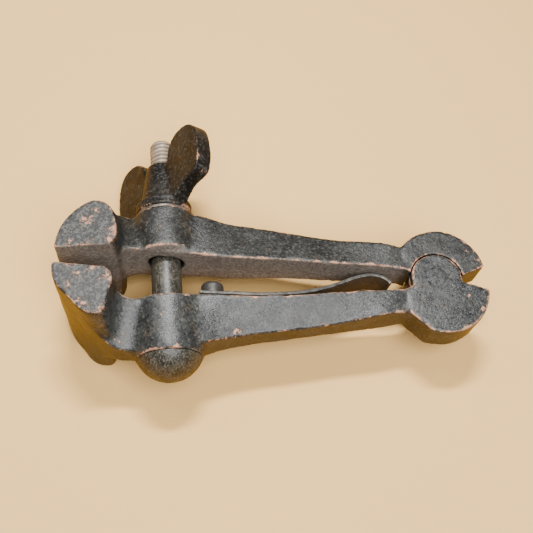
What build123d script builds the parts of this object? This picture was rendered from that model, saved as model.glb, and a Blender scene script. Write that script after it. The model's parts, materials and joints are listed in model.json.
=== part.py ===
"""Hand vice: two forged legs on a rule-joint knuckle, closed by a clamp bolt and wing nut.

Millimetres. The solids are drawn about the knuckle axis: origin on that axis at mid
thickness, jaws towards -X, bolt head towards -Y, wing nut towards +Y, +Z along the pin.
They are drawn as the vice rests, jaws a little open, then moved together so that the
origin is the centre of the bottom of their bounding box.
"""
import os
from math import cos, radians, sin

from build123d import *

# ---------------------------------------------------------------- driving sizes
LENGTH_TO_JAW_TIP = 111.2        # knuckle axis to the jaws' end
BOLT_FROM_TIP = 32.2             # jaws' end to the bolt, at its head
RIVET_FROM_TIP = 43.8            # and to the spring's rivet
JAW_HALF_HEIGHT = 19.0           # jaws are 38 mm wide, along Z
JAW_ROOT_HALF = 5.0              # where the jaw block starts to narrow towards its ends
KNUCKLE_HALF = 5.5               # half thickness of the knuckle, both legs flush
KNUCKLE_R = 7.8                  # front leg's round cheeks and rear leg's round tongue
TONGUE_HALF = 2.1                # half thickness of the tongue
PIN_R = 2.4
BOLT_NECK_R = 4.5
BOLT_THREAD_R = 3.7              # plain cylinder at the crests of an 18 tpi thread
BOLT_TILT = 4.5                  # degrees, nut end leaning towards the jaws
HEAD_R = 9.45
HEAD_RISE = 6.4
BOSS_R_IN = 11.0                 # bosses round the bolt, at the inner faces of the legs
BOSS_R_OUT = 10.0                # and at their outer faces
PAD_T = 1.3                      # raised ring under the bolt head
PAD_MARGIN = 0.45                # its edge beyond the head
BOLT_LENGTH = 74.0               # under the head
NECK_LENGTH = 32.0

# ---------------------------------------------------------------- fits
PIN_RUN = 0.05                   # radial, pin in the rear leg's tongue
PIN_DRIVE = 0.01                 # radial, pin in the front leg's cheeks
BOLT_FIT = 0.03                  # radial, neck in the front leg
KNUCKLE_GAP = 0.25               # round edges of the rule joint
LAYER_GAP = 0.12                 # between tongue and cheeks
NUT_RUN = 0.05                   # radial, nut on the thread
WASHER_RUN = 0.30                # radial, washer on the thread
RIVET_RUN = 0.10                 # radial, rivet in the strip
RIVET_LOOSE = 0.15               # under the rivet's head, so that the strip can rock
SEAT_GAP = 0.10                  # washer on the rear leg
NUT_SEAT_GAP = 0.05              # nut on washer
SPRING_SEAT_GAP = 0.40           # strip on the front leg
# room round the bolt's neck in the rear leg, which swings past it
HOLE_SIDE_RUN = 0.30
HOLE_TAIL_RUN = 0.80             # towards the knuckle
HOLE_JAW_RUN_IN = 0.75           # towards the jaws, at the hole's inner mouth
HOLE_JAW_RUN_OUT = 2.00          # and at its outer mouth
SPOT_RUN = 1.80                  # flat round the washer
PAST = 2.0                       # a cut runs at least this far past what it cuts

# ---------------------------------------------------------------- clamp bolt axis
TIP = -LENGTH_TO_JAW_TIP
HEAD_SEAT = (TIP + BOLT_FROM_TIP, -25.3, 0.0)   # centre of the head's flat underside
BOLT_DIR = (-sin(radians(BOLT_TILT)), cos(radians(BOLT_TILT)), 0.0)
bolt_axis = Axis(HEAD_SEAT, BOLT_DIR)
bolt_plane = Plane(origin=HEAD_SEAT, x_dir=(0, 0, 1), z_dir=BOLT_DIR)
# for turned profiles: x is the radius, y the distance along the bolt
bolt_profile_plane = Plane(origin=HEAD_SEAT, x_dir=(0, 0, 1), z_dir=(-BOLT_DIR[1], BOLT_DIR[0], 0))

# distances along the bolt from the head's underside
FRONT_BOSS_INNER = 16.3
REAR_BOSS_INNER = 31.2
REAR_BOSS_OUTER = 45.3
SPOT_DEPTH = 2.4
SPOT_REACH = 10.0                # the flat is cleared this far out
CROWN_R = 60.0                   # the washer's seat is crowned so that the leg can swing
WASHER_T = 1.4
WASHER_R = 8.4
FLANGE_R = 8.6
FLANGE_T = 3.5
HUB_R_LOW = 7.2
HUB_WALL_TOP = 1.3
HUB_LENGTH = 17.0
WING_ANGLE = 53.0                # degrees from +X towards +Z
WING_T = 5.2
# a wing in its own plane: distance from the bolt axis, height above the nut's seat
WING_OUTLINE = (
    (3.0, 1.6), (8.6, 1.8), (12.2, 4.4), (15.6, 5.4), (19.4, 6.2), (21.2, 9.6), (21.4, 14.0),
    (20.6, 19.8), (17.8, 23.4), (13.6, 24.4), (9.2, 23.2), (6.8, 20.4), (5.6, 16.2), (3.0, 13.6),
)

WASHER_SEAT = REAR_BOSS_OUTER + SEAT_GAP
NUT_SEAT = WASHER_SEAT + WASHER_T + NUT_SEAT_GAP
TIP_ROUND = 2.4                  # rounding of the bolt's end
HEAD_SPHERE_R = (HEAD_R**2 + HEAD_RISE**2) / (2 * HEAD_RISE)
HUB_R_TOP = BOLT_THREAD_R + HUB_WALL_TOP
wing_out = (cos(radians(WING_ANGLE)) * BOLT_DIR[1], -cos(radians(WING_ANGLE)) * BOLT_DIR[0],
            sin(radians(WING_ANGLE)))
wing_plane = Plane(
    origin=HEAD_SEAT, x_dir=wing_out, z_dir=Vector(*wing_out).cross(Vector(*BOLT_DIR)),
)

# ---------------------------------------------------------------- leg sections
SPRING_SEAT = 7.7                # the front leg's inner edge where the spring is riveted on
# x, inner edge, outer edge, half height at the inner edge, half height at the outer edge;
# places near the jaws are measured from their end, so a longer vice has longer shanks
FRONT_SECTIONS = (
    (TIP + 8.2, 5.6, 18.0, 14.5, 14.0),
    (TIP + 11.2, 5.8, 20.4, 13.0, 10.4),
    (TIP + 14.2, 6.8, 22.6, 11.6, 7.4),
    (TIP + 17.2, 8.8, 24.0, 10.4, 5.2),
    (TIP + 20.2, 10.1, 24.5, 9.3, 4.3),
    (TIP + 23.7, 9.9, 24.2, 8.3, 4.4),
    (TIP + 31.2, 8.4, 23.8, 8.2, 5.4),
    (TIP + 39.7, SPRING_SEAT, 22.6, 7.6, 6.6),
    (TIP + 46.2, SPRING_SEAT, 20.9, 7.3, 5.2),
    (TIP + 54.2, SPRING_SEAT, 19.2, 7.1, 4.5),
    (-42.0, 6.9, 17.0, 6.8, 4.1),
    (-27.0, 5.3, 14.4, 6.4, 4.6),
    (-12.0, 4.0, 11.6, KNUCKLE_HALF + 0.2, KNUCKLE_HALF - 0.1),
    (-5.0, 2.6, 11.0, KNUCKLE_HALF, KNUCKLE_HALF),
)
REAR_SECTIONS = (
    (TIP + 8.2, 2.6, 13.5, 14.5, 13.0),
    (TIP + 11.2, 3.0, 16.2, 13.0, 10.0),
    (TIP + 14.2, 3.9, 18.0, 11.6, 7.2),
    (TIP + 17.2, 4.7, 18.0, 10.4, 5.2),
    (TIP + 20.2, 5.2, 18.0, 9.3, 4.3),
    (TIP + 23.7, 5.2, 19.2, 8.6, 4.4),
    (TIP + 31.2, 4.9, 19.0, 8.4, 5.4),
    (TIP + 39.7, 4.6, 18.6, 8.0, 6.4),
    (TIP + 46.2, 4.1, 17.3, 7.8, 5.2),
    (TIP + 54.2, 4.0, 16.3, 7.4, 4.5),
    (-42.0, 3.9, 14.4, 6.8, 4.1),
    (-27.0, 3.4, 12.4, 6.4, 4.6),
    (-12.0, 2.8, 10.8, KNUCKLE_HALF + 0.2, KNUCKLE_HALF - 0.1),
    (-5.0, 2.2, 10.6, KNUCKLE_HALF, KNUCKLE_HALF),
)

# jaw outlines seen from above, as distances back from the jaws' end and across:
# at the ends of the jaw, and where it joins the leg
FRONT_JAW_END = (
    (0.0, -4.3), (14.0, -5.14), (16.3, -7.8), (15.4, -14.3),
    (14.2, -18.8), (10.0, -18.8), (5.8, -15.4), (1.2, -10.3),
)
FRONT_JAW_FOOT = (               # its lower end stands a little further out
    (0.0, -4.3), (14.0, -5.14), (16.3, -7.8), (15.8, -14.6),
    (14.2, -20.6), (9.8, -20.6), (5.4, -16.6), (1.0, -10.8),
)
FRONT_JAW_ROOT = (
    (0.0, -4.3), (14.0, -5.14), (17.3, -8.2), (17.3, -15.0),
    (15.6, -22.2), (10.6, -19.6), (5.6, -15.6), (1.1, -10.4),
)
REAR_JAW_END = (
    (0.0, -0.1), (14.8, 1.4), (16.6, 4.2), (16.0, 9.6),
    (13.4, 14.4), (9.9, 15.5), (5.6, 13.0), (1.1, 6.4),
)
REAR_JAW_ROOT = (
    (0.0, -0.1), (14.8, 1.4), (17.4, 4.4), (17.4, 10.2),
    (15.4, 17.0), (10.4, 16.6), (5.4, 13.4), (1.0, 6.6),
)

# knuckle bulbs: straight flank from the leg's inner edge to the tail's tip, then round
FRONT_FLANK = ((-9.4, -11.4), (-9.4, -3.4), (-7.4, -2.4), (8.2, -1.2), (15.9, -3.2))
FRONT_ROUND = ((15.9, -3.2), (11.4, -13.5), (-3.4, -16.9))
REAR_FLANK = ((-9.8, 10.5), (-9.8, 2.6), (-7.4, 1.6), (8.2, 1.2), (15.2, 4.2))
REAR_ROUND = ((15.2, 4.2), (6.6, 15.2), (-9.8, 10.5))

# spring: centre line of the strip, and half widths at its root and its tip
SPRING_T = 1.1
SPRING_ROOT = (TIP + 39.7, -SPRING_SEAT + SPRING_SEAT_GAP + SPRING_T / 2)
SPRING_LINE = (
    (TIP + 54.2, -6.7), (TIP + 62.2, -6.2), (TIP + 70.2, -5.1), (-32.0, -2.5), (-24.8, 0.6),
    (-19.4, 1.9), (-15.8, 1.3), (-13.6, -0.6),
)
SPRING_ROOT_HALF = 6.5
SPRING_TIP_HALF = 4.8
SPRING_TAPER_FROM = 12.0         # from the root
SPRING_REACH = 10.0              # the strip lies within this of the mid line
SPRING_SWING = 3.0               # degrees, the strip sits a little askew on its one rivet
RIVET_X = TIP + RIVET_FROM_TIP
RIVET_DEPTH = 13.0               # its hole in the front leg, from the mid line
RIVET_END_GAP = 0.1
RIVET_R = 1.9
RIVET_HEAD_R = 3.4
RIVET_HEAD_T = 4.6
RIVET_HEAD_ROUND = 1.2


def outline(points, plane):
    """Flat face with the given corners on a plane."""
    with BuildSketch(plane) as face:
        with BuildLine():
            Polyline(*points, close=True)
        make_face()
    return face.sketch


def leg_sections(side, sections):
    """Four-sided faces across X, from inside the jaw to inside the knuckle."""
    faces = []
    for x, inner, outer, half_inner, half_outer in sections:
        corners = (
            (side * inner, -half_inner), (side * outer, -half_outer),
            (side * outer, half_outer), (side * inner, half_inner),
        )
        faces.append(outline(corners, Plane(origin=(x, 0, 0), x_dir=(0, 1, 0), z_dir=(1, 0, 0))))
    return faces


def jaw_outline(points, plane):
    """A jaw in plan: its flat gripping face, then one smooth curve round its back."""
    corners = [(TIP + back, across) for back, across in points]
    with BuildSketch(plane) as face:
        with BuildLine():
            Line(corners[0], corners[1])
            Spline(*corners[1:], corners[0])
        make_face()
    return face.sketch


def jaw_sections(end_outline, root_outline, way):
    """The two faces between which one end of a jaw narrows."""
    return [
        jaw_outline(root_outline, Plane.XY.offset(way * JAW_ROOT_HALF)),
        jaw_outline(end_outline, Plane.XY.offset(way * JAW_HALF_HEIGHT)),
    ]


def boss_sections(outer, inner):
    """The two round faces of a boss, given its ends' distances along the bolt."""
    faces = []
    for distance, radius in ((outer, BOSS_R_OUT), (inner, BOSS_R_IN)):
        with BuildSketch(bolt_plane.offset(distance)) as face:
            Circle(radius)
        faces.append(face.sketch)
    return faces


def bulb(flank, round_end):
    """Round end of a leg in plan, cut straight along its half of the tail notch."""
    with BuildSketch(Plane.XY.offset(-KNUCKLE_HALF)) as face:
        with BuildLine():
            Polyline(*flank)
            ThreePointArc(*round_end)
            if round_end[-1] != flank[0]:
                Line(round_end[-1], flank[0])
        make_face()
    return face.sketch


def oblong(distance, jaw_side):
    """Section of the rear leg's bolt hole at a distance along the bolt."""
    tail_side = BOLT_NECK_R + HOLE_TAIL_RUN
    with BuildSketch(bolt_plane.offset(distance)) as face:
        with Locations((0, (tail_side - jaw_side) / 2)):
            SlotOverall(tail_side + jaw_side, 2 * (BOLT_NECK_R + HOLE_SIDE_RUN), rotation=90)
    return face.sketch


# ---------------------------------------------------------------- front leg, the fork
with BuildPart() as front_leg:
    loft(leg_sections(-1, FRONT_SECTIONS))
    extrude(jaw_outline(FRONT_JAW_ROOT, Plane.XY), amount=JAW_ROOT_HALF, both=True)
    loft(jaw_sections(FRONT_JAW_END, FRONT_JAW_ROOT, 1))
    loft(jaw_sections(FRONT_JAW_FOOT, FRONT_JAW_ROOT, -1))
    extrude(bulb(FRONT_FLANK, FRONT_ROUND), amount=2 * KNUCKLE_HALF)
    loft(boss_sections(PAD_T, FRONT_BOSS_INNER))
    with BuildSketch(bolt_plane):
        Circle(HEAD_R + PAD_MARGIN)
    extrude(amount=PAD_T)
    with BuildSketch(Plane.XY.offset(-KNUCKLE_HALF)):
        Circle(KNUCKLE_R)
    extrude(amount=2 * KNUCKLE_HALF)
    with BuildSketch(bolt_plane.offset(-PAST)):
        Circle(BOLT_NECK_R + BOLT_FIT)
    extrude(amount=FRONT_BOSS_INNER + 2 * PAST, mode=Mode.SUBTRACT)
    with BuildSketch(Plane.XY.offset(-TONGUE_HALF - LAYER_GAP)):
        Circle(KNUCKLE_R + KNUCKLE_GAP)
    extrude(amount=2 * (TONGUE_HALF + LAYER_GAP), mode=Mode.SUBTRACT)
    with BuildSketch(Plane.XY.offset(-KNUCKLE_HALF)):
        Circle(PIN_R + PIN_DRIVE)
    extrude(amount=2 * KNUCKLE_HALF, mode=Mode.SUBTRACT)
    with BuildSketch(Plane.XZ):
        with Locations((RIVET_X, 0)):
            Circle(RIVET_R + PIN_DRIVE)
    extrude(amount=RIVET_DEPTH, mode=Mode.SUBTRACT)

# ---------------------------------------------------------------- rear leg, the tongue
with BuildPart() as rear_boss:
    loft(boss_sections(REAR_BOSS_OUTER, REAR_BOSS_INNER))
    # the washer's seat is crowned about an axis along Z
    crown_centre = bolt_axis.position + bolt_axis.direction * (REAR_BOSS_OUTER - CROWN_R)
    with Locations(crown_centre):
        Cylinder(CROWN_R, 3 * BOSS_R_IN, mode=Mode.INTERSECT)

with BuildPart() as rear_leg:
    loft(leg_sections(1, REAR_SECTIONS))
    extrude(jaw_outline(REAR_JAW_ROOT, Plane.XY), amount=JAW_ROOT_HALF, both=True)
    loft(jaw_sections(REAR_JAW_END, REAR_JAW_ROOT, 1))
    loft(jaw_sections(REAR_JAW_END, REAR_JAW_ROOT, -1))
    extrude(bulb(REAR_FLANK, REAR_ROUND), amount=2 * KNUCKLE_HALF)
    # flat round the washer's seat, so that the washer clears the leg as it swings
    with BuildSketch(bolt_plane.offset(REAR_BOSS_OUTER - SPOT_DEPTH)):
        Circle(WASHER_R + SPOT_RUN)
    extrude(amount=SPOT_REACH, mode=Mode.SUBTRACT)
    add(rear_boss.part)
    # the bolt's hole, an oblong that flares towards the nut
    jaw_side_in = BOLT_NECK_R + HOLE_JAW_RUN_IN
    jaw_side_out = BOLT_NECK_R + HOLE_JAW_RUN_OUT
    hole_mouth = oblong(REAR_BOSS_INNER, jaw_side_in)
    loft([oblong(REAR_BOSS_INNER - 2 * PAST, jaw_side_in), hole_mouth], mode=Mode.SUBTRACT)
    loft([hole_mouth, oblong(REAR_BOSS_OUTER + PAST / 2, jaw_side_out)], mode=Mode.SUBTRACT)
    # clear the front leg's cheeks, then add the tongue that runs between them
    for way in (1, -1):
        with BuildSketch(Plane.XY.offset(way * TONGUE_HALF)):
            Circle(KNUCKLE_R + KNUCKLE_GAP)
        extrude(amount=way * (KNUCKLE_HALF + PAST), mode=Mode.SUBTRACT)
    with BuildSketch(Plane.XY.offset(-TONGUE_HALF)):
        Circle(KNUCKLE_R)
    extrude(amount=2 * TONGUE_HALF)
    with BuildSketch(Plane.XY.offset(-TONGUE_HALF)):
        Circle(PIN_R + PIN_RUN)
    extrude(amount=2 * TONGUE_HALF, mode=Mode.SUBTRACT)

# ---------------------------------------------------------------- knuckle pin, filed flush
with BuildPart() as knuckle_pin:
    with BuildSketch(Plane.XY.offset(-KNUCKLE_HALF)):
        Circle(PIN_R)
    extrude(amount=2 * KNUCKLE_HALF)

# ---------------------------------------------------------------- clamp bolt
with BuildPart() as clamp_bolt:
    with Locations(bolt_axis.position + bolt_axis.direction * (HEAD_SPHERE_R - HEAD_RISE)):
        Sphere(HEAD_SPHERE_R)
    split(bisect_by=bolt_plane, keep=Keep.BOTTOM)
    with BuildSketch(bolt_plane):
        Circle(BOLT_NECK_R)
    extrude(amount=NECK_LENGTH)
    with BuildSketch(bolt_plane.offset(NECK_LENGTH)):
        Circle(BOLT_THREAD_R)
    extrude(amount=BOLT_LENGTH - NECK_LENGTH)
    fillet(clamp_bolt.edges().sort_by(bolt_axis)[-1], radius=TIP_ROUND)

# ---------------------------------------------------------------- washer
with BuildPart() as nut_washer:
    with BuildSketch(bolt_plane.offset(WASHER_SEAT)):
        Circle(WASHER_R)
        Circle(BOLT_THREAD_R + WASHER_RUN, mode=Mode.SUBTRACT)
    extrude(amount=WASHER_T)

# ---------------------------------------------------------------- wing nut
with BuildPart() as wing_nut:
    with BuildSketch(bolt_profile_plane):
        with BuildLine():
            Polyline(
                (0, NUT_SEAT), (FLANGE_R - 0.4, NUT_SEAT), (FLANGE_R, NUT_SEAT + 0.4),
                (FLANGE_R, NUT_SEAT + 1.1), (FLANGE_R - 0.5, NUT_SEAT + 1.5),
                (FLANGE_R, NUT_SEAT + 1.9), (FLANGE_R, NUT_SEAT + FLANGE_T - 0.6),
                (HUB_R_LOW, NUT_SEAT + FLANGE_T), (HUB_R_TOP, NUT_SEAT + HUB_LENGTH),
                (0, NUT_SEAT + HUB_LENGTH), close=True,
            )
        make_face()
    revolve(axis=bolt_axis)
    for way in (1, -1):
        with BuildSketch(wing_plane):
            with BuildLine():
                Spline(*[(way * r, NUT_SEAT + h) for r, h in WING_OUTLINE])
                Line((way * WING_OUTLINE[-1][0], NUT_SEAT + WING_OUTLINE[-1][1]),
                     (way * WING_OUTLINE[0][0], NUT_SEAT + WING_OUTLINE[0][1]))
            make_face()
        extrude(amount=WING_T / 2, both=True)
    with BuildSketch(bolt_plane.offset(NUT_SEAT - PAST)):
        Circle(BOLT_THREAD_R + NUT_RUN)
    extrude(amount=HUB_LENGTH + 2 * PAST, mode=Mode.SUBTRACT)

# ---------------------------------------------------------------- leaf spring
with BuildPart() as leaf_spring:
    with BuildSketch(Plane.XY.offset(-SPRING_ROOT_HALF)):
        with BuildLine():
            Polyline(SPRING_ROOT, SPRING_LINE[0])
            Spline(*SPRING_LINE, tangents=((1, 0), (0.45, -1)))
        trace(line_width=SPRING_T)
    extrude(amount=2 * SPRING_ROOT_HALF)
    # the strip narrows towards its tip
    root, tip = SPRING_ROOT[0], SPRING_LINE[-1][0]
    taper_from = root + SPRING_TAPER_FROM
    with BuildSketch(Plane.XZ):
        with BuildLine():
            Polyline(
                (root - PAST, -SPRING_ROOT_HALF), (taper_from, -SPRING_ROOT_HALF),
                (tip + PAST, -SPRING_TIP_HALF), (tip + PAST, SPRING_TIP_HALF),
                (taper_from, SPRING_ROOT_HALF), (root - PAST, SPRING_ROOT_HALF), close=True,
            )
        make_face()
    extrude(amount=SPRING_REACH, both=True, mode=Mode.INTERSECT)
    with BuildSketch(Plane.XZ.offset(SPRING_SEAT + PAST)):
        with Locations((RIVET_X, 0)):
            Circle(RIVET_R + RIVET_RUN)
    extrude(amount=-SPRING_REACH, mode=Mode.SUBTRACT)
leaf_spring.part = leaf_spring.part.rotate(Axis((RIVET_X, 0, 0), (0, 1, 0)), SPRING_SWING)

# ---------------------------------------------------------------- spring rivet
RIVET_SEAT = SPRING_ROOT[1] + SPRING_T / 2 + RIVET_LOOSE
rivet_plane = Plane(origin=(RIVET_X, RIVET_SEAT, 0), x_dir=(1, 0, 0), z_dir=(0, 1, 0))
with BuildPart() as spring_rivet:
    with BuildSketch(rivet_plane):
        Circle(RIVET_HEAD_R)
    extrude(amount=RIVET_HEAD_T)
    fillet(spring_rivet.edges().sort_by(Axis.Y)[-1], radius=RIVET_HEAD_ROUND)
    with BuildSketch(rivet_plane):
        Circle(RIVET_R)
    extrude(amount=-(RIVET_DEPTH + RIVET_SEAT - RIVET_END_GAP))

# ---------------------------------------------------------------- place and write
pieces = {
    "front_leg": front_leg,
    "rear_leg": rear_leg,
    "knuckle_pin": knuckle_pin,
    "clamp_bolt": clamp_bolt,
    "nut_washer": nut_washer,
    "wing_nut": wing_nut,
    "leaf_spring": leaf_spring,
    "spring_rivet": spring_rivet,
}
box = Compound([piece.part for piece in pieces.values()]).bounding_box()
to_row_origin = Location(
    (-(box.min.X + box.max.X) / 2, -(box.min.Y + box.max.Y) / 2, -box.min.Z)
)
os.makedirs("parts", exist_ok=True)
for name, piece in pieces.items():
    moved = piece.part.moved(to_row_origin)
    moved.label = name
    export_step(moved, f"parts/{name}.step")
print("knuckle axis in the row's frame:", to_row_origin.position)
print("overall size:", box.size)
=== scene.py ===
"""Looks of the hand vice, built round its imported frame. Metres, in the frame's own axes.

The forged pieces are remeshed copies of the frame's nodes, rounded, filleted and dented in
mesh code. The bolt and the washer are turned. Every finish is a node material.
"""
import json
import math

import bpy
import numpy as np
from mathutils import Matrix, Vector, noise


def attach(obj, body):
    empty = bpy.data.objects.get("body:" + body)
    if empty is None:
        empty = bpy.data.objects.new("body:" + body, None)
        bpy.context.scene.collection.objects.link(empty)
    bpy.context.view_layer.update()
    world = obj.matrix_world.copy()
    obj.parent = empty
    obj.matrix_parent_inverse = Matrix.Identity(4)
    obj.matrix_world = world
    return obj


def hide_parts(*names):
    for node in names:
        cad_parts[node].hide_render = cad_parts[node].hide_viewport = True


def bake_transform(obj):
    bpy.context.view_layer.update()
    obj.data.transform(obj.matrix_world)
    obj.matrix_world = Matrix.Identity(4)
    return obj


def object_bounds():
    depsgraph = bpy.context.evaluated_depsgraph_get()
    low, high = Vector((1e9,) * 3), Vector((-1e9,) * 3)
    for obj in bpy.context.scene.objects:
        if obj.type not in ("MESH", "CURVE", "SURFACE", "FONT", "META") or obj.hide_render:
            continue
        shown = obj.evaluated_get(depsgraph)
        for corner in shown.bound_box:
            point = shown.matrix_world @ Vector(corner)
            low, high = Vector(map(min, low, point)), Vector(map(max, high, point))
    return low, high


MM = 0.001

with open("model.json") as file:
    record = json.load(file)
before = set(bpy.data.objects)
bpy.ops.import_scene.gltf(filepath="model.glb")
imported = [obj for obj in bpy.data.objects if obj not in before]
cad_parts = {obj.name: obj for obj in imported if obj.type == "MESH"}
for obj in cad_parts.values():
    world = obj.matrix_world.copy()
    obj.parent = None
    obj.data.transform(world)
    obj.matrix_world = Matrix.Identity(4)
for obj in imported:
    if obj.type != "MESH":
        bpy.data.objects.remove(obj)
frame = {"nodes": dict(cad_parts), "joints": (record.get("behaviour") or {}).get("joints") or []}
cad_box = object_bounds()
nodes = frame["nodes"]
joints = {joint["name"]: joint for joint in frame["joints"]}
KNUCKLE = Vector(joints["jaw_open"]["pos_m"])
BOLT_DIR = Vector(joints["nut_spin"]["axis"]).normalized()

# ---------------------------------------------------------------- sizes, in millimetres
NUT_JOINT_DISTANCE = 55.0        # from the seat of the bolt's head to the nut's joint
NECK_R = 4.5
HEAD_R = 9.45
HEAD_RISE = 6.4
HEAD_RIM = 0.5                   # rounding of the head's rim
NECK_LENGTH = 32.0
BOLT_LENGTH = 74.0
THREAD_R = 3.7
THREAD_DEPTH = 0.8
THREAD_LEAD = 25.4 / 18          # 18 turns to the inch
BOLT_SIDES = 80
TIP_ROUND = 2.4
WASHER_R = 8.4
WASHER_HOLE_R = 4.0
WASHER_ROUND = 0.35
PIN_R = 2.35
PIN_HEAD_R = 3.8                 # its ends are hammered over and filed flush
PIN_HEAD_T = 0.9
KNUCKLE_HALF = 5.5
FLANGE_TOP = 50.6                # end of the nut's flange, from the seat of the bolt's head
HEAD_SEAT = Vector(joints["nut_spin"]["pos_m"]) - BOLT_DIR * NUT_JOINT_DISTANCE * MM

# ---------------------------------------------------------------- camera, light and floor
CAMERA_FROM_KNUCKLE = (-70.80, -97.97, 207.90)  # millimetres
CAMERA_TURN = (26.324, -4.989, -0.882)          # degrees about X, Y and Z
CAMERA_LENS = 51.67
# each light's name, place, target and size in metres, and power in watts
LIGHTS = (
    ("key", (-0.030, 0.140, 0.43), (-0.02, -0.01, 0.02), (0.12, 0.03), 2.6),
    ("left", (-0.26, 0.12, 0.36), (-0.04, -0.02, 0.02), (0.08, 0.08), 0.35),
    ("fill", (0.10, -0.35, 0.75), (0, 0, 0.02), (0.6, 0.6), 11.5),
)
WORLD_COLOUR = (0.9, 0.88, 0.85)
WORLD_STRENGTH = 0.16
FLOOR_COLOUR = (0.62, 0.48, 0.19)
FLOOR_SIZE = 4.0
CARD_COLOUR = (0.55, 0.25, 0.01)
CARD_SIZE = 0.8
CARD_HEIGHT = 0.2                # millimetres above the floor
MATT = 0.9                       # roughness of the floor and the card


def make_camera():
    data = bpy.data.cameras.new("camera")
    data.lens = CAMERA_LENS
    data.sensor_width = 36
    data.clip_start = 0.01
    camera = bpy.data.objects.new("camera", data)
    bpy.context.scene.collection.objects.link(camera)
    camera.location = KNUCKLE + Vector(CAMERA_FROM_KNUCKLE) * MM
    camera.rotation_euler = [math.radians(turn) for turn in CAMERA_TURN]
    bpy.context.scene.camera = camera


def soft_light(name, place, target, size, power):
    """A rectangular area light at a place, turned to a target."""
    data = bpy.data.lights.new(name, "AREA")
    data.shape = "RECTANGLE"
    data.size, data.size_y = size
    data.energy = power
    light = bpy.data.objects.new(name, data)
    bpy.context.scene.collection.objects.link(light)
    light.location = place
    light.rotation_euler = (Vector(target) - Vector(place)).to_track_quat("-Z", "Y").to_euler()


def matt_sheet(name, size, height, colour):
    """A matt square, height millimetres above the bottom of the object."""
    bpy.ops.mesh.primitive_plane_add(size=size, location=(0, 0, cad_box[0][2] + height * MM))
    sheet = bpy.context.object
    sheet.name = name
    material = bpy.data.materials.new(name)
    material.use_nodes = True
    shader = material.node_tree.nodes["Principled BSDF"]
    shader.inputs["Base Color"].default_value = (*colour, 1)
    shader.inputs["Roughness"].default_value = MATT
    sheet.data.materials.append(material)
    return sheet


def make_studio():
    """Three lights, a dim world, the floor, and an ochre card that only reflections see.

    The card lies on the floor and warms the lower sides of the object.
    """
    for light in LIGHTS:
        soft_light(*light)
    world = bpy.data.worlds.new("studio")
    bpy.context.scene.world = world
    world.use_nodes = True
    background = world.node_tree.nodes["Background"]
    background.inputs["Color"].default_value = (*WORLD_COLOUR, 1)
    background.inputs["Strength"].default_value = WORLD_STRENGTH
    floor = matt_sheet("floor", FLOOR_SIZE, 0, FLOOR_COLOUR)
    card = matt_sheet("warm_card", CARD_SIZE, CARD_HEIGHT, CARD_COLOUR)
    card.visible_camera = False
    card.visible_shadow = False


# ---------------------------------------------------------------- finishes
class Finish:
    """A material and short calls for the nodes that the finishes share."""

    def __init__(self, name):
        self.material = bpy.data.materials.new(name)
        self.material.use_nodes = True
        self.tree = self.material.node_tree
        self.shader = self.tree.nodes["Principled BSDF"]
        self.place = self.tree.nodes.new("ShaderNodeTexCoord").outputs["Object"]

    def put(self, socket, value):
        """Link an output to a socket, or set its value."""
        if isinstance(value, bpy.types.NodeSocket):
            self.tree.links.new(value, socket)
        elif isinstance(value, tuple):
            socket.default_value = (*value, 1)
        else:
            socket.default_value = value

    def noise(self, size, detail=3.0, rough=0.55, shift=0.0):
        """Noise with patches about size millimetres across, from 0 to 1."""
        node = self.tree.nodes.new("ShaderNodeTexNoise")
        node.noise_dimensions = "4D"
        node.inputs["W"].default_value = shift
        node.inputs["Scale"].default_value = 1 / (size * MM)
        node.inputs["Detail"].default_value = detail
        node.inputs["Roughness"].default_value = rough
        self.tree.links.new(self.place, node.inputs["Vector"])
        return node.outputs["Fac"]

    def field(self, name):
        """A piece's own value for each point, or 0 where it has none."""
        node = self.tree.nodes.new("ShaderNodeAttribute")
        node.attribute_name = name
        return node.outputs["Fac"]

    def step(self, value, low, high, start=0.0, end=1.0):
        """Smooth step from start to end as value goes from low to high."""
        node = self.tree.nodes.new("ShaderNodeMapRange")
        node.interpolation_type = "SMOOTHSTEP"
        limits = {"From Min": low, "From Max": high, "To Min": start, "To Max": end}
        for socket, number in limits.items():
            node.inputs[socket].default_value = number
        self.put(node.inputs["Value"], value)
        return node.outputs["Result"]

    def combine(self, operation, first, second, third=None):
        """Arithmetic on two or three values."""
        node = self.tree.nodes.new("ShaderNodeMath")
        node.operation = operation
        self.put(node.inputs[0], first)
        self.put(node.inputs[1], second)
        if third is not None:
            self.put(node.inputs[2], third)
        return node.outputs[0]

    def blend(self, share, first, second):
        """Colour between two colours."""
        node = self.tree.nodes.new("ShaderNodeMix")
        node.data_type = "RGBA"
        self.put(node.inputs["Factor"], share)
        self.put(node.inputs["A"], first)
        self.put(node.inputs["B"], second)
        return node.outputs["Result"]

    def relief(self, height, depth):
        """Bump of the height field, depth millimetres from 0 to 1."""
        node = self.tree.nodes.new("ShaderNodeBump")
        node.inputs["Strength"].default_value = 1.0
        node.inputs["Distance"].default_value = depth * MM
        self.put(node.inputs["Height"], height)
        self.put(self.shader.inputs["Normal"], node.outputs["Normal"])


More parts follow.
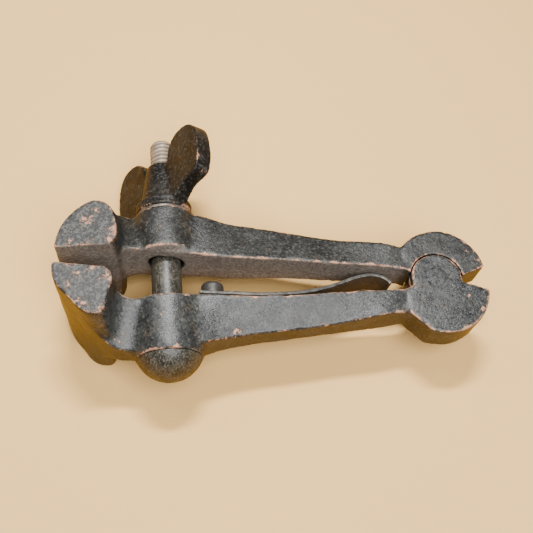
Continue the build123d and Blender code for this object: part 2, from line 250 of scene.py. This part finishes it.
PAINT = (0.016, 0.017, 0.017)
SHEEN = (0.042, 0.044, 0.041)
BROWN = (0.040, 0.032, 0.022)
BARE = (0.46, 0.26, 0.17)
RUST = (0.22, 0.10, 0.055)
SPECKLE = (0.095, 0.093, 0.083)
PIT = (0.005, 0.005, 0.005)
MOTTLE_DARK, MOTTLE_LIGHT = (0.008, 0.008, 0.007), (0.085, 0.082, 0.072)
# inner faces: paler brownish grey, partly dust and partly a painted reflection of the warm
# surroundings
INNER_DARK, INNER_LIGHT = (0.10, 0.080, 0.066), (0.24, 0.205, 0.17)
# painted dark amber reflection of a warm surface below, on the lower outer faces
AMBER_REFLECTION_DARK, AMBER_REFLECTION_LIGHT = (0.035, 0.014, 0.002), (0.09, 0.038, 0.004)
THREAD_DARK, THREAD_LIGHT = (0.24, 0.19, 0.14), (0.50, 0.41, 0.31)
THREAD_ROOT = (0.11, 0.085, 0.065)
WEAR_FROM = 0.495                # edge value from which the paint has worn through
CHIP_FROM = 2.02                 # chip value from which it has
PAINT_RELIEF = 0.13              # depths of the finest relief, in millimetres
STEEL_RELIEF = 0.05
BOLT_RELIEF = 0.08


def worn_paint(name, paint, sheen, brown, gloss=0.30, speckle=0.8):
    """Black japanning over iron: speckled, brown where thin, bare along worn edges and chips.

    A piece's fields say where it differs: "ends" is mottled, as on the jaws' ends, "inner" is
    paler and duller, partly dust and partly a painted reflection, the lower outer faces carry a
    painted dark amber reflection of a warm surface below, and "wear" and "chip" are where the
    paint is gone.
    """
    finish = Finish(name)
    cloud = finish.noise(7.0, 4, 0.6)
    grain = finish.noise(0.75, 4, 0.7, shift=1.7)
    fleck = finish.noise(1.1, 3, 0.6, shift=4.2)
    ragged = finish.noise(1.3, 6, 0.8, shift=7.9)
    broad = finish.noise(5.0, 2, 0.5, shift=3.1)

    colour = finish.blend(finish.step(cloud, 0.35, 0.68), paint, sheen)
    colour = finish.blend(finish.step(broad, 0.52, 0.75, 0, 0.7), colour, brown)
    colour = finish.blend(finish.step(grain, 0.51, 0.66, 0, speckle), colour, SPECKLE)
    colour = finish.blend(finish.step(grain, 0.47, 0.36, 0, 0.8), colour, PIT)
    ends, inner = finish.field("ends"), finish.field("inner")
    mottled = finish.blend(finish.step(grain, 0.44, 0.60), MOTTLE_DARK, MOTTLE_LIGHT)
    colour = finish.blend(ends, colour, mottled)
    # inner faces paler and duller: partly dust, partly a painted reflection of the warm
    # surroundings
    dull = finish.blend(finish.step(grain, 0.35, 0.7), INNER_DARK, INNER_LIGHT)
    colour = finish.blend(inner, colour, dull)
    # painted dark amber reflection of a warm surface below, on the lower outer faces
    amber = finish.blend(cloud, AMBER_REFLECTION_DARK, AMBER_REFLECTION_LIGHT)
    colour = finish.blend(finish.field("painted_amber_reflection"), colour, amber)

    # bare along the edges in broken dashes, and in ragged chips
    edge = finish.combine("MULTIPLY_ADD", ragged, 0.45, finish.field("wear"))
    edge = finish.combine("MULTIPLY_ADD", broad, 0.35, edge)
    worn = finish.step(edge, WEAR_FROM, WEAR_FROM + 0.05)
    chip = finish.combine("MULTIPLY_ADD", ragged, 2.6, finish.field("chip"))
    chips = finish.step(chip, CHIP_FROM, CHIP_FROM + 0.08)
    specks = finish.step(fleck, 0.70, 0.76, 0, 0.6)
    bare = finish.combine("MAXIMUM", finish.combine("MAXIMUM", worn, chips), specks)
    metal = finish.blend(finish.step(grain, 0.3, 0.5), RUST, BARE)
    colour = finish.blend(bare, colour, metal)

    finish.put(finish.shader.inputs["Base Color"], colour)
    rough = finish.combine("MULTIPLY_ADD", grain, 0.40, gloss - 0.18)
    rough = finish.combine("MULTIPLY_ADD", inner, 0.30, rough)
    rough = finish.combine("MULTIPLY_ADD", ends, 0.20, rough)
    rough = finish.combine("MULTIPLY_ADD", bare, 0.12, rough)
    finish.put(finish.shader.inputs["Roughness"], rough)
    finish.put(finish.shader.inputs["Metallic"], finish.combine("MULTIPLY", bare, 0.35))
    height = finish.combine("MULTIPLY_ADD", ragged, 0.6, grain)
    height = finish.combine("SUBTRACT", height, finish.combine("MULTIPLY", bare, 0.35))
    finish.relief(height, PAINT_RELIEF)
    return finish.material


def bare_steel(name, dark, light, rough, wear):
    """Dull handled steel with darker stains, brighter along its edges."""
    finish = Finish(name)
    stain = finish.noise(3.0, 5, 0.65)
    grain = finish.noise(0.4, 3, 0.6, shift=2.2)
    colour = finish.blend(finish.step(stain, 0.3, 0.7), dark, light)
    colour = finish.blend(finish.step(grain, 0.55, 0.75, 0, 0.5), colour, wear)
    edge = finish.combine("MULTIPLY_ADD", stain, 0.2, finish.field("wear"))
    colour = finish.blend(finish.step(edge, 0.16, 0.26), colour, wear)
    rough = finish.combine("MULTIPLY_ADD", grain, 0.25, rough - 0.1)
    finish.put(finish.shader.inputs["Base Color"], colour)
    finish.put(finish.shader.inputs["Roughness"], rough)
    finish.put(finish.shader.inputs["Metallic"], finish.step(stain, 0.3, 0.7, 0.35, 0.75))
    finish.relief(finish.combine("MULTIPLY_ADD", stain, 0.5, grain), STEEL_RELIEF)
    return finish.material


def bolt_finish():
    """Black head and neck, and bare steel, darker in its roots, where the field says thread."""
    finish = Finish("bolt")
    cloud = finish.noise(4.0, 4, 0.6)
    grain = finish.noise(0.5, 3, 0.65, shift=1.2)
    ragged = finish.noise(1.4, 5, 0.7, shift=5.3)
    paint = finish.blend(finish.step(cloud, 0.35, 0.7),
                         (0.018, 0.017, 0.013), (0.060, 0.054, 0.040))
    paint = finish.blend(finish.step(grain, 0.51, 0.64, 0, 0.8), paint, (0.13, 0.115, 0.085))
    paint = finish.blend(finish.step(grain, 0.47, 0.38, 0, 0.8), paint, (0.006, 0.006, 0.005))
    paint = finish.blend(finish.step(ragged, 0.66, 0.71), paint, BARE)
    thread = finish.blend(finish.step(cloud, 0.3, 0.65), THREAD_DARK, THREAD_LIGHT)
    root = finish.step(finish.field("root"), 0.35, 0.9, 0, 0.75)
    thread = finish.blend(root, thread, THREAD_ROOT)
    is_thread = finish.field("thread")
    finish.put(finish.shader.inputs["Base Color"], finish.blend(is_thread, paint, thread))
    rough = finish.combine("MULTIPLY_ADD", grain, 0.40, 0.16)
    rough = finish.combine("MULTIPLY_ADD", is_thread, 0.15, rough)
    finish.put(finish.shader.inputs["Roughness"], rough)
    finish.put(finish.shader.inputs["Metallic"], finish.combine("MULTIPLY", is_thread, 0.45))
    finish.relief(finish.combine("MULTIPLY_ADD", ragged, 0.5, grain), BOLT_RELIEF)
    return finish.material


# ---------------------------------------------------------------- mesh helpers
def new_object(name, mesh):
    piece = bpy.data.objects.new(name, mesh)
    bpy.context.scene.collection.objects.link(piece)
    return piece


def points_of(mesh):
    co = np.empty(len(mesh.vertices) * 3)
    mesh.vertices.foreach_get("co", co)
    return co.reshape(-1, 3)


def set_points(mesh, co):
    mesh.vertices.foreach_set("co", co.ravel())
    mesh.update()


def normals_of(mesh):
    normal = np.empty(len(mesh.vertices) * 3, np.float32)
    mesh.vertex_normals.foreach_get("vector", normal)
    return normal.reshape(-1, 3).astype(float)


def shade_smooth(mesh):
    for polygon in mesh.polygons:
        polygon.use_smooth = True


def write_field(mesh, name, values):
    """Store a value for each point, which the finishes read by its name."""
    attribute = mesh.attributes.new(name, "FLOAT", "POINT")
    attribute.data.foreach_set("value", values.astype(np.float32))


class Net:
    """The edges of a mesh, for averaging values over neighbours."""

    def __init__(self, mesh):
        ends = np.empty(len(mesh.edges) * 2, np.int64)
        mesh.edges.foreach_get("vertices", ends)
        self.a, self.b = ends.reshape(-1, 2).T
        self.count = len(mesh.vertices)
        self.degree = np.maximum(np.bincount(ends, minlength=self.count), 1)

    def mean(self, values):
        """Average of each point's neighbours, for one value or three."""
        columns = values.reshape(self.count, -1)
        out = np.empty_like(columns)
        for k in range(columns.shape[1]):
            column = columns[:, k]
            total = np.bincount(self.a, column[self.b], self.count)
            total += np.bincount(self.b, column[self.a], self.count)
            out[:, k] = total / self.degree
        return out.reshape(values.shape)

    def smooth(self, values, rounds, amount=0.5):
        for _ in range(rounds):
            values = values + amount * (self.mean(values) - values)
        return values


def noise_at(co, size, seed):
    """Smooth noise at each point, about -1 to 1, with lumps size millimetres across."""
    shift = Vector((seed * 17.3, seed * 5.1, seed * 9.7))
    scale = 1 / (size * MM)
    return np.array([noise.noise(Vector(point) * scale + shift) for point in co])


def step(values, low, high):
    t = np.clip((values - low) / (high - low), 0, 1)
    return t * t * (3 - 2 * t)


def from_axis(co, origin, direction):
    """Distance of each point along an axis, and away from it, in millimetres."""
    offset = (co - np.array(origin)) / MM
    along = offset @ np.array(direction)
    away = np.linalg.norm(offset - along[:, None] * np.array(direction), axis=1)
    return along, away


CRISP = 0.4                      # share of the softening that edges at the fits keep
WEAR_ROUNDS = 9                  # smoothing rounds that tell how sharp an edge is
FILLET_RATE = 0.7                # share of each hollow that a round of filling takes up
DENT_SIZE = 5.0                  # millimetres across the dents and the nicks
NICK_SIZE = 1.7


def forged(node, name, voxel, soften=3, fillets=0, dent=0.1, nick=0.2, seed=1.0, free=None):
    """A remeshed copy of a node with rounded edges, filled inner corners, dents and nicks.

    free(points) is 1 where the surface may grow into inner corners, and 0 near other pieces.
    Apart from that it only loses material. It returns the piece and its net.
    """
    copy = new_object(name + "_draft", nodes[node].data.copy())
    remesh = copy.modifiers.new("remesh", "REMESH")
    remesh.mode = "VOXEL"
    remesh.voxel_size = voxel * MM
    bpy.context.view_layer.update()
    depsgraph = bpy.context.evaluated_depsgraph_get()
    mesh = bpy.data.meshes.new_from_object(copy.evaluated_get(depsgraph))
    bpy.data.objects.remove(copy)
    mesh.name = name
    mesh.materials.clear()
    net = Net(mesh)
    raw = points_of(mesh)
    co = net.smooth(raw, soften)
    set_points(mesh, co)
    if fillets:
        room = free(co)
        co = raw + (co - raw) * (CRISP + (1 - CRISP) * room)[:, None]
        set_points(mesh, co)
        for _ in range(fillets):
            hollow = ((net.mean(co) - co) * normals_of(mesh)).sum(1)
            co = co + (FILLET_RATE * np.maximum(hollow, 0) * room)[:, None] * normals_of(mesh)
            set_points(mesh, co)
        co = co + (net.smooth(co, 3) - co) * room[:, None]
        set_points(mesh, co)
    normal = normals_of(mesh)
    convex = ((co - net.smooth(co, WEAR_ROUNDS)) * normal).sum(1) / MM
    write_field(mesh, "wear", convex)
    loss = dent * step(noise_at(co, DENT_SIZE, seed), -0.5, 0.7)
    loss += nick * step(noise_at(co, NICK_SIZE, seed + 3), 0.1, 0.55) * step(convex, 0.04, 0.16)
    set_points(mesh, co - normal * (loss * MM)[:, None])
    shade_smooth(mesh)
    return new_object(name, mesh), net


def turned(name, distances, radii, ring=False, origin=HEAD_SEAT, direction=BOLT_DIR):
    """A closed turned mesh about an axis; radii has a row for each distance.

    A ring's last row joins its first; anything else is closed at both ends.
    """
    rings, sides = radii.shape
    across = direction.orthogonal().normalized()
    other = direction.cross(across)
    angle = np.arange(sides) * 2 * math.pi / sides
    spoke = np.outer(np.cos(angle), across) + np.outer(np.sin(angle), other)
    co = np.array(origin) + MM * (
        distances[:, None, None] * np.array(direction) + radii[:, :, None] * spoke[None])
    points = co.reshape(-1, 3).tolist()
    faces = []
    for i in range(rings if ring else rings - 1):
        low, high = i * sides, (i + 1) % rings * sides
        for j in range(sides):
            k = (j + 1) % sides
            faces.append((low + j, low + k, high + k, high + j))
    if not ring:
        points += [tuple(origin + direction * distances[end] * MM) for end in (0, -1)]
        first, last = rings * sides, rings * sides + 1
        faces += [(first, (j + 1) % sides, j) for j in range(sides)]
        top = (rings - 1) * sides
        faces += [(last, top + j, top + (j + 1) % sides) for j in range(sides)]
    mesh = bpy.data.meshes.new(name)
    mesh.from_pydata(points, [], faces)
    mesh.update()
    shade_smooth(mesh)
    return new_object(name, mesh)


def turned_profile(name, profile, **options):
    """A turned mesh of plain (distance, radius) pairs."""
    distances = np.array([s for s, _ in profile])
    radii = np.array([np.full(BOLT_SIDES, r) for _, r in profile])
    return turned(name, distances, radii, **options)


def finish_piece(piece, material, body, node):
    """Give a piece its finish, and say which node it replaces and which body it rides."""
    piece.data.materials.append(material)
    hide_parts(node)
    if body:
        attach(piece, body)


# ---------------------------------------------------------------- the legs
LEG_VOXEL = 0.38
KNUCKLE_KEEP = 12.0              # nothing grows within this of the knuckle's axis
BOLT_KEEP = 5.6                  # nor in the bolt's holes
SEAT_KEEP = 11.5                 # nor this near the bolt's axis, at the washer's seat,
SEAT_FROM = 40.0                 # which starts this far along the bolt
JAW_HALF = 19.0                  # the jaws' ends are this far from the middle, along Z
HIDDEN_BACK = 0.08               # how far the joint's hidden faces stand back
HIDDEN_R = 8.3                   # they lie within this of the knuckle's axis
HIDDEN_HALF = 3.0                # and of the middle, along Z
KNUCKLE_RIM = 8.8                # round the knuckle, edges within this
KNUCKLE_WEAR = 0.85              # keep this share of their wear
PIN_KEEP = 4.5                   # no edge is worn within this of the pin's axis
HOLE_KEEP = 7.5                  # nor of the bolt's axis
CHIP_SPREAD = 2.2                # a chip's field fades out at this many times its reach
CHIP_STRENGTH = 0.9
# strength of the painted amber reflection on the lower outer faces
AMBER_REFLECTION_STRENGTH = 0.8
FIELD_ROUNDS = 4                 # smoothing rounds of the "inner" field and of the painted amber reflection
# worn chips: place from the knuckle's axis, and reach, in millimetres
FRONT_CHIPS = (
    ((-60.5, -18.6, 5.0), 2.0), ((-44.0, -11.5, 6.5), 0.9), ((-81.0, -14.5, 9.0), 2.2),
    ((-80.0, -9.5, 9.0), 1.2), ((-93.0, -20.5, 5.0), 2.4), ((-95.2, -8.5, 19.0), 2.6),
    ((-96.5, -18.0, 19.0), 2.2), ((-102.0, -16.5, 19.0), 2.4), ((-106.0, -5.0, 19.0), 2.2),
    ((-100.0, -5.4, 19.0), 2.0), ((-106.5, -11.0, 19.0), 1.6), ((-104.0, -8.0, 19.0), 1.6),
    ((12.5, -10.0, 5.5), 1.3), ((9.0, -6.0, 5.5), 0.9),
)
REAR_CHIPS = (
    ((-95.0, 5.5, 19.0), 3.2), ((-96.0, 3.0, 19.0), 2.0), ((-103.0, 8.5, 19.0), 2.2),
    ((-100.5, 12.0, 19.0), 1.4), ((-106.5, 2.0, 19.0), 1.8), ((-102.0, 1.8, 19.0), 1.4),
    ((-29.5, 3.6, 6.3), 1.3), ((-25.0, 3.4, 6.2), 1.3), ((-19.5, 3.2, 6.0), 1.1),
    ((-10.5, 2.8, 5.6), 1.2), ((13.0, 5.5, 5.0), 1.8), ((10.0, 9.5, 5.5), 1.0),
)


def may_grow(co):
    """1 where a leg's inner corners may fill, 0 at the knuckle, the holes and the nut's seat."""
    _, knuckle = from_axis(co, KNUCKLE, (0, 0, 1))
    along, bolt = from_axis(co, HEAD_SEAT, BOLT_DIR)
    clear = step(knuckle, KNUCKLE_KEEP, KNUCKLE_KEEP + 2) * step(bolt, BOLT_KEEP, BOLT_KEEP + 1)
    near_seat = step(along, SEAT_FROM, SEAT_FROM + 3) * (1 - step(bolt, SEAT_KEEP, SEAT_KEEP + 1))
    return clear * (1 - near_seat)


def make_leg(node, side, chips, seed):
    """A forged leg with the fields of its finish; side is -1 for the front one, 1 for the rear."""
    piece, net = forged(node, node + "_forged", LEG_VOXEL, soften=4, fillets=80, dent=0.12,
                        nick=0.22, seed=seed, free=may_grow)
    mesh = piece.data
    co = points_of(mesh)
    normal = normals_of(mesh)
    local = (co - np.array(KNUCKLE)) / MM
    _, knuckle = from_axis(co, KNUCKLE, (0, 0, 1))
    # the joint's hidden faces stand back, because its gap is finer than the mesh
    hidden = 1 - step(knuckle, HIDDEN_R, HIDDEN_R + 0.5)
    hidden *= 1 - step(np.abs(local[:, 2]), HIDDEN_HALF, HIDDEN_HALF + 0.6)
    set_points(mesh, co - normal * (hidden * HIDDEN_BACK * MM)[:, None])
    # faces turned to the other leg are paler: partly dust, partly a painted reflection
    inner = step(-side * normal[:, 1], 0.45, 0.8) * step(-local[:, 0], 8, 12)
    write_field(mesh, "inner", net.smooth(inner, FIELD_ROUNDS))
    write_field(mesh, "ends", step(np.abs(local[:, 2]), JAW_HALF - 1.5, JAW_HALF - 0.6))
    # faces turned down and outwards get a painted dark amber reflection of a warm surface below
    painted_amber_reflection = step(-normal[:, 2], 0.05, 0.6) * step(side * normal[:, 1], -0.4, 0.1)
    write_field(mesh, "painted_amber_reflection", net.smooth(painted_amber_reflection, FIELD_ROUNDS) * AMBER_REFLECTION_STRENGTH)
    wear = mesh.attributes["wear"]
    worn = np.empty(len(co), np.float32)
    wear.data.foreach_get("value", worn)
    worn *= KNUCKLE_WEAR + (1 - KNUCKLE_WEAR) * step(knuckle, KNUCKLE_RIM, KNUCKLE_RIM + 0.8)
    worn *= step(knuckle, PIN_KEEP, PIN_KEEP + 1)
    worn *= step(from_axis(co, HEAD_SEAT, BOLT_DIR)[1], HOLE_KEEP, HOLE_KEEP + 1)
    wear.data.foreach_set("value", worn)
    chip = np.zeros(len(co))
    for place, reach in chips:
        away = np.linalg.norm(local - np.array(place), axis=1)
        chip = np.maximum(chip, 1 - away / (CHIP_SPREAD * reach))
    write_field(mesh, "chip", chip * CHIP_STRENGTH)
    return piece


# ---------------------------------------------------------------- bolt, washer and pin
RINGS_PER_TURN = 14


def make_bolt():
    """Domed head, plain neck and a real right-hand thread with worn crests."""
    ball = (HEAD_R**2 + HEAD_RISE**2) / (2 * HEAD_RISE)
    rim = math.asin((HEAD_R - HEAD_RIM * 0.4) / ball)
    swing = np.linspace(0.03, rim, 26)
    profile = [(ball - HEAD_RISE - ball * math.cos(t), ball * math.sin(t)) for t in swing]
    profile += [(-0.25, HEAD_R - 0.05), (0.0, HEAD_R - 0.25), (0.0, NECK_R + 0.6)]
    profile += [(0.4, NECK_R), *[(s, NECK_R) for s in np.linspace(2, NECK_LENGTH - 0.6, 24)]]
    profile += [(NECK_LENGTH, THREAD_R - THREAD_DEPTH)]
    distances = [s for s, _ in profile]
    radii = [np.full(BOLT_SIDES, r) for _, r in profile]
    turn = np.arange(BOLT_SIDES) / BOLT_SIDES
    rings = int((BOLT_LENGTH - NECK_LENGTH) / THREAD_LEAD * RINGS_PER_TURN)
    for s in np.linspace(NECK_LENGTH + 0.2, BOLT_LENGTH - 0.02, rings):
        phase = (s / THREAD_LEAD - turn) % 1.0
        crest = np.clip(1.45 * (1 - np.abs(2 * phase - 1)), 0, 1)
        radius = THREAD_R - THREAD_DEPTH * (1 - crest)
        past = max(0.0, s - (BOLT_LENGTH - TIP_ROUND))
        limit = THREAD_R - TIP_ROUND + math.sqrt(TIP_ROUND**2 - past**2)
        distances.append(s)
        radii.append(np.minimum(radius, limit))
    piece = turned("bolt_turned", np.array(distances), np.array(radii))
    mesh = piece.data
    co = points_of(mesh)
    along, away = from_axis(co, HEAD_SEAT, BOLT_DIR)
    on_thread = step(along, NECK_LENGTH - 0.5, NECK_LENGTH + 0.5)
    write_field(mesh, "thread", on_thread)
    write_field(mesh, "root", on_thread * np.clip((THREAD_R - away) / THREAD_DEPTH, 0, 1))
    loss = 0.06 * step(noise_at(co, 2.6, 5.0), -0.4, 0.6)
    set_points(mesh, co - normals_of(mesh) * (loss * MM)[:, None])
    return piece


def make_washer():
    """Plain ring with rounded outer edges, as thick as its node."""
    along, _ = from_axis(points_of(nodes["nut_washer"].data), HEAD_SEAT, BOLT_DIR)
    low, high = along.min(), along.max()
    corner = [math.radians(a) for a in (0, 22, 45, 68, 90)]
    centre = WASHER_R - WASHER_ROUND
    profile = [(low, WASHER_HOLE_R)]
    profile += [(low + WASHER_ROUND * (1 - math.cos(a)), centre + WASHER_ROUND * math.sin(a))
                for a in corner]
    profile += [(high - WASHER_ROUND * (1 - math.sin(a)), centre + WASHER_ROUND * math.cos(a))
                for a in corner]
    profile += [(high, WASHER_HOLE_R)]
    return turned_profile("washer_ring", profile, ring=True)


def make_pin():
    """The knuckle's pin, with both ends hammered over into the cheeks and filed flush."""
    half = [(KNUCKLE_HALF - 0.05, 0.4 * PIN_HEAD_R), (KNUCKLE_HALF - 0.06, 0.8 * PIN_HEAD_R),
            (KNUCKLE_HALF - 0.16, PIN_HEAD_R), (KNUCKLE_HALF - PIN_HEAD_T, PIN_R + 0.1),
            (KNUCKLE_HALF - PIN_HEAD_T - 0.5, PIN_R)]
    profile = [(-s, r) for s, r in half] + [(s, r) for s, r in reversed(half)]
    return turned_profile("pin_peened", profile, origin=KNUCKLE, direction=Vector((0, 0, 1)))


def above_flange(co):
    """1 where the nut's inner corners may fill, 0 at its flange and its seat."""
    along, _ = from_axis(co, HEAD_SEAT, BOLT_DIR)
    return step(along, FLANGE_TOP, FLANGE_TOP + 1)


# ---------------------------------------------------------------- make everything
make_camera()
make_studio()

leg_paint = worn_paint("japanned_iron", PAINT, SHEEN, BROWN)
# the rear leg's paint is the front leg's japanning darkened as painted shade, where the key
# light's sheen falls less
rear_shaded_paint = worn_paint("japanned_iron_painted_shade", (0.010, 0.010, 0.009), (0.026, 0.026, 0.022), BROWN,
                        gloss=0.38, speckle=0.6)
nut_paint = worn_paint("nut_iron", (0.008, 0.007, 0.006), (0.022, 0.019, 0.015),
                       (0.03, 0.019, 0.010), gloss=0.36, speckle=0.5)
nut_paint.node_tree.nodes["Principled BSDF"].inputs["Specular IOR Level"].default_value = 0.2
pin_paint = worn_paint("pin_steel", PAINT, SHEEN, BROWN)
spring_metal = bare_steel("spring_steel", (0.03, 0.027, 0.024), (0.10, 0.095, 0.085), 0.46,
                          (0.20, 0.18, 0.15))
washer_metal = bare_steel("washer_steel", (0.07, 0.055, 0.045), (0.30, 0.26, 0.22), 0.35,
                          (0.55, 0.48, 0.42))
rivet_metal = bare_steel("rivet_steel", (0.03, 0.027, 0.024), (0.10, 0.09, 0.08), 0.44,
                         (0.22, 0.19, 0.15))

front_leg = make_leg("front_leg", -1, FRONT_CHIPS, 1.0)
finish_piece(front_leg, leg_paint, "front_leg", "front_leg")
rear_leg = make_leg("rear_leg", 1, REAR_CHIPS, 2.0)
finish_piece(rear_leg, rear_shaded_paint, "rear_leg", "rear_leg")

finish_piece(make_bolt(), bolt_finish(), "front_leg", "clamp_bolt")
finish_piece(make_washer(), washer_metal, "washer", "nut_washer")

wing_nut, _ = forged("wing_nut", "wing_nut_cast", 0.27, soften=3, fillets=30, dent=0.08,
                     nick=0.1, seed=3.0, free=above_flange)
finish_piece(wing_nut, nut_paint, "wing_nut", "wing_nut")

rivet, _ = forged("spring_rivet", "rivet_headed", 0.22, soften=3, dent=0.08, nick=0.1, seed=4.0)
finish_piece(rivet, rivet_metal, "front_leg", "spring_rivet")

spring, _ = forged("leaf_spring", "spring_strip", 0.24, soften=2, dent=0.04, nick=0.08, seed=5.0)
finish_piece(spring, spring_metal, None, "leaf_spring")
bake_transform(spring)

finish_piece(make_pin(), pin_paint, "front_leg", "knuckle_pin")
